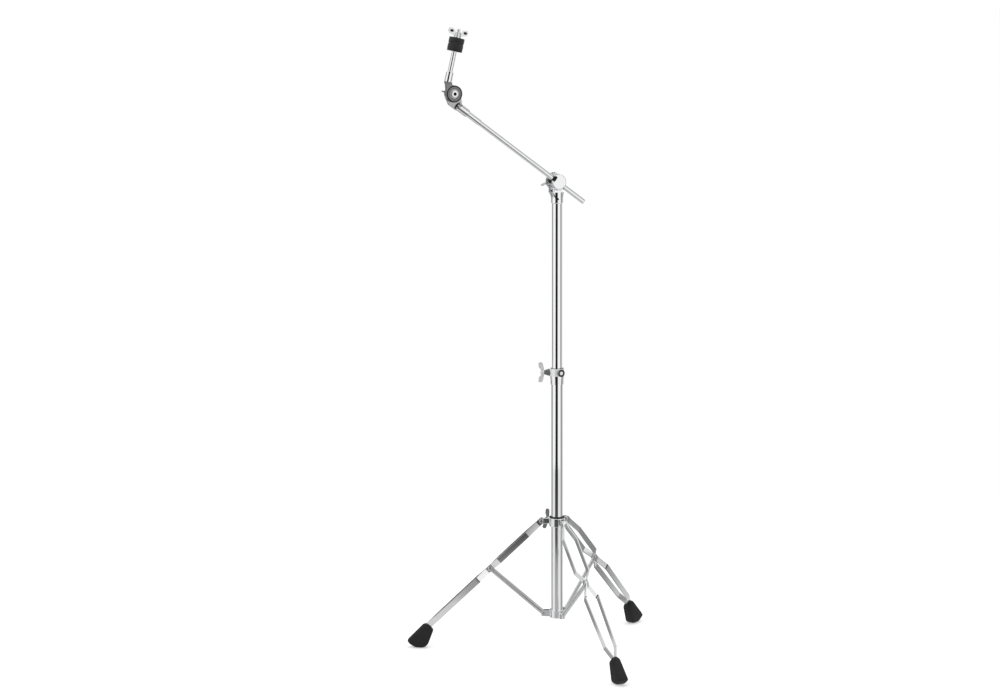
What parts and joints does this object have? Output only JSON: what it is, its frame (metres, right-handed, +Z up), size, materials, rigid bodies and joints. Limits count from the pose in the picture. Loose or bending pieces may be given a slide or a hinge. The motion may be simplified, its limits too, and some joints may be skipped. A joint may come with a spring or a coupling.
{
  "type": "cymbal boom stand",
  "caption": "Double-braced tripod stand with a telescoping column, a tilting sliding boom and a tilting threaded post with felts that hold a cymbal.",
  "frame": {"origin": "on the column's axis at the height of the feet's soles", "axes": "+Z up along the column, -X out along the left leg, +Y away from the viewer"},
  "size_m": [0.5677, 0.653, 1.5349],
  "materials": {
    "chrome": "bright chrome plate, mirror polished",
    "steel": "plated rivet steel, satin",
    "dark_steel": "blackened steel screw",
    "casting": "dark grey casting, semi-gloss",
    "nylon": "black moulded nylon, matt",
    "rubber": "black moulded rubber, matt",
    "felt": "black pressed wool felt"
  },
  "bodies": {
    "base": {"base_tube": "chrome", "base_plug": "nylon", "lower_hub": "chrome", "strut_rivets": "steel", "height_clamp": "chrome"},
    "leg_collar": {"leg_collar": "chrome", "collar_ring": "nylon", "leg_rivets": "steel"},
    "collar_wing_bolt": {"collar_wing_bolt": "chrome"},
    "height_wing_bolt": {"height_wing_bolt": "chrome"},
    "height_bushing": {"height_bushing": "nylon"},
    "upper_column": {"upper_tube": "chrome", "tilter_yoke": "chrome", "yoke_screw": "dark_steel"},
    "boom_tilter": {"tilter_barrel": "chrome", "tilter_stud": "steel"},
    "tilter_wing_nut": {"tilter_wing_nut": "chrome"},
    "boom_liner": {"boom_liner": "nylon"},
    "boom": {"boom_rod": "chrome", "boom_cap": "chrome", "boom_sleeve": "chrome", "boom_arm": "chrome", "arm_bolt": "chrome"},
    "arm_wing_nut": {"arm_wing_nut": "chrome"},
    "cymbal_post": {"post_housing": "casting", "post_sleeve": "chrome", "post_rod": "chrome", "seat_washer": "nylon", "cymbal_sleeve": "nylon", "felt_lower": "felt", "felt_upper": "felt"},
    "cymbal_wing_nut": {"cymbal_wing_nut": "chrome"},
    "leg_left": {"leg_left_strip_a": "chrome", "leg_left_strip_b": "chrome", "leg_left_mid_rivet": "steel", "leg_left_foot": "rubber"},
    "strut_left": {"strut_left": "chrome"},
    "leg_front": {"leg_front_strip_a": "chrome", "leg_front_strip_b": "chrome", "leg_front_mid_rivet": "steel", "leg_front_foot": "rubber"},
    "strut_front": {"strut_front": "chrome"},
    "leg_rear": {"leg_rear_strip_a": "chrome", "leg_rear_strip_b": "chrome", "leg_rear_mid_rivet": "steel", "leg_rear_foot": "rubber"},
    "strut_rear": {"strut_rear": "chrome"}
  },
  "joints": [
    {"name": "collar_slide", "type": "slide", "parent": "base", "child": "leg_collar", "axis": [0, 0, 1], "range_m": [0, 0.1134]},
    {"name": "leg_left_hinge", "type": "hinge", "parent": "leg_collar", "child": "leg_left", "pos_m": [-0.0379, 0, 0.3257], "axis": [0, -1, 0], "range_deg": [0, 41.12]},
    {"name": "strut_left_hinge", "type": "hinge", "parent": "base", "child": "strut_left", "pos_m": [-0.033, 0, 0.0944], "axis": [0, -1, 0], "range_deg": [-43.4, 0]},
    {"name": "leg_front_hinge", "type": "hinge", "parent": "leg_collar", "child": "leg_front", "pos_m": [0.01895, -0.03282, 0.3257], "axis": [0.866, 0.5, 0], "range_deg": [0, 41.12]},
    {"name": "strut_front_hinge", "type": "hinge", "parent": "base", "child": "strut_front", "pos_m": [0.0165, -0.02858, 0.0944], "axis": [0.866, 0.5, 0], "range_deg": [-43.4, 0]},
    {"name": "leg_rear_hinge", "type": "hinge", "parent": "leg_collar", "child": "leg_rear", "pos_m": [0.01895, 0.03282, 0.3257], "axis": [-0.866, 0.5, 0], "range_deg": [0, 41.12]},
    {"name": "strut_rear_hinge", "type": "hinge", "parent": "base", "child": "strut_rear", "pos_m": [0.0165, 0.02858, 0.0944], "axis": [-0.866, 0.5, 0], "range_deg": [-43.4, 0]},
    {"name": "collar_wing_turn", "type": "hinge", "parent": "leg_collar", "child": "collar_wing_bolt", "pos_m": [-0.02121, 0.02121, 0.325], "axis": [-0.7071, 0.7071, 0], "continuous": true},
    {"name": "height_wing_turn", "type": "hinge", "parent": "base", "child": "height_wing_bolt", "pos_m": [-0.03184, -0.00323, 0.6945], "axis": [-0.9949, -0.1011, 0], "continuous": true},
    {"name": "column_swivel", "type": "hinge", "parent": "base", "child": "height_bushing", "pos_m": [0, 0, 0.693], "axis": [0, 0, 1], "continuous": true},
    {"name": "height_slide", "type": "slide", "parent": "height_bushing", "child": "upper_column", "axis": [0, 0, 1], "range_m": [-0.385, 0.09]},
    {"name": "boom_tilt", "type": "hinge", "parent": "upper_column", "child": "boom_tilter", "pos_m": [0, 0, 1.159], "axis": [-0.4818, 0.8763, 0], "range_deg": [-80, 10]},
    {"name": "tilter_wing_turn", "type": "hinge", "parent": "boom_tilter", "child": "tilter_wing_nut", "pos_m": [-0.01204, 0.02191, 1.159], "axis": [-0.4818, 0.8763, 0], "continuous": true},
    {"name": "boom_roll", "type": "hinge", "parent": "boom_tilter", "child": "boom_liner", "pos_m": [0, 0, 1.159], "axis": [-0.7048, -0.3875, 0.5943], "continuous": true},
    {"name": "boom_slide", "type": "slide", "parent": "boom_liner", "child": "boom", "axis": [-0.7048, -0.3875, 0.5943], "range_m": [-0.225, 0.065]},
    {"name": "post_tilt", "type": "hinge", "parent": "boom", "child": "cymbal_post", "pos_m": [-0.23418, -0.12874, 1.37821], "axis": [-0.4818, 0.8763, 0], "range_deg": [-60, 90]},
    {"name": "arm_wing_turn", "type": "hinge", "parent": "boom", "child": "arm_wing_nut", "pos_m": [-0.24092, -0.11647, 1.37821], "axis": [-0.4818, 0.8763, 0], "continuous": true},
    {"name": "cymbal_wing_turn", "type": "hinge", "parent": "cymbal_post", "child": "cymbal_wing_nut", "pos_m": [-0.22409, -0.12319, 1.51519], "axis": [0.1997, 0.1098, 0.9737], "continuous": true}
  ],
  "couplings": [
    {"joint": "leg_left_hinge", "follows": "collar_slide", "rad_per_m": 6.3257},
    {"joint": "strut_left_hinge", "follows": "collar_slide", "rad_per_m": -6.6762},
    {"joint": "leg_front_hinge", "follows": "collar_slide", "rad_per_m": 6.3257},
    {"joint": "strut_front_hinge", "follows": "collar_slide", "rad_per_m": -6.6762},
    {"joint": "leg_rear_hinge", "follows": "collar_slide", "rad_per_m": 6.3257},
    {"joint": "strut_rear_hinge", "follows": "collar_slide", "rad_per_m": -6.6762}
  ]
}
